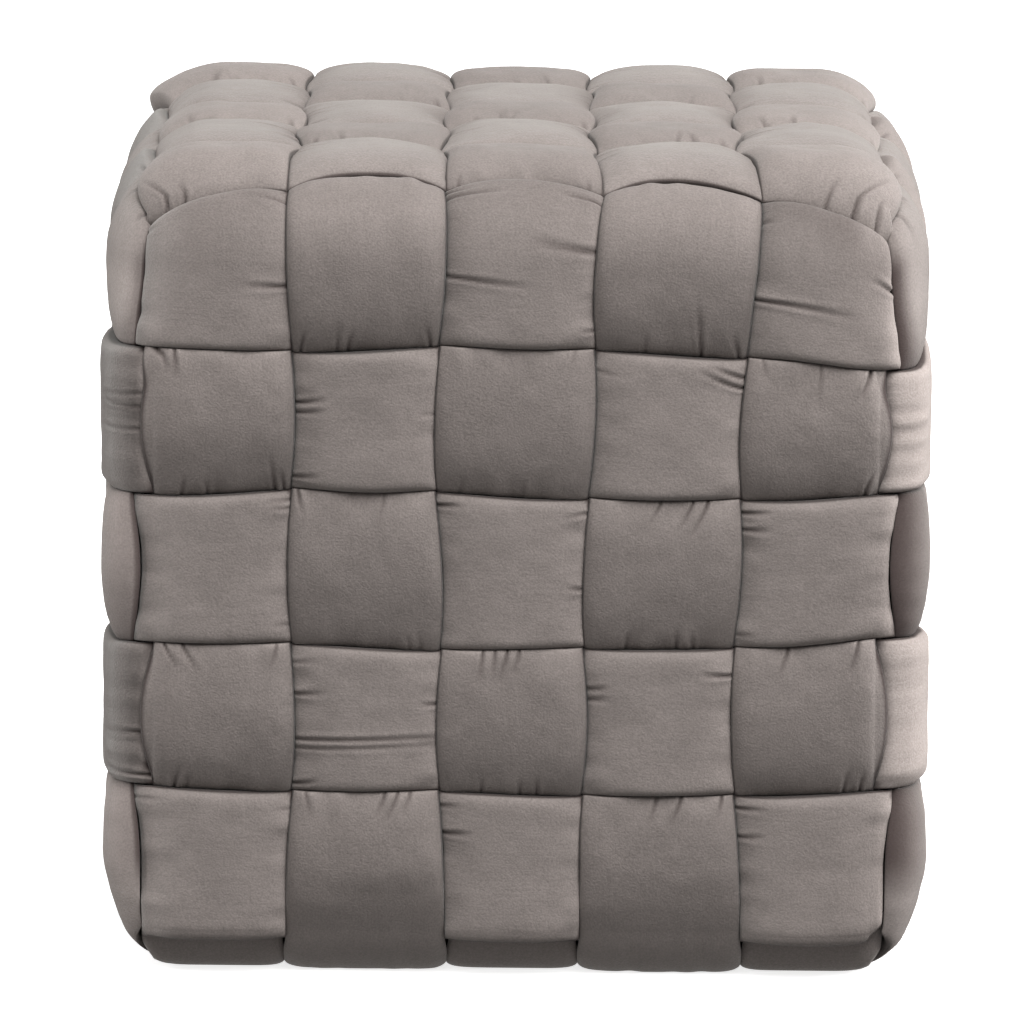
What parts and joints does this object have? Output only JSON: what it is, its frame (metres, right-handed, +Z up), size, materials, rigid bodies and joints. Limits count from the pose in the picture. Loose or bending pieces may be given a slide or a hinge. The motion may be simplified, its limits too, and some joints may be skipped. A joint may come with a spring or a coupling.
{
  "type": "cube pouf stool",
  "caption": "Soft cube pouf covered by wide padded velvet bands in a plain over-and-under weave round its sides and over its top, standing flat on its base.",
  "frame": {"origin": "on the floor, under the middle of the pouf", "axes": "+Z up, front towards -Y, +X to the right of someone looking at the front"},
  "size_m": [0.4567, 0.4568, 0.4559],
  "materials": {
    "velvet": "short velvet pile, warm grey, with soft sheen",
    "block_cloth": "plain dark woven lining cloth, matt"
  },
  "bodies": {
    "root": {"block": "block_cloth", "hoop_1": "velvet", "hoop_2": "velvet", "hoop_3": "velvet", "hoop_4": "velvet", "hoop_5": "velvet", "front_back_band_1": "velvet", "front_back_band_2": "velvet", "front_back_band_3": "velvet", "front_back_band_4": "velvet", "front_back_band_5": "velvet", "left_right_band_1": "velvet", "left_right_band_2": "velvet", "left_right_band_3": "velvet", "left_right_band_4": "velvet", "left_right_band_5": "velvet"}
  },
  "joints": []
}
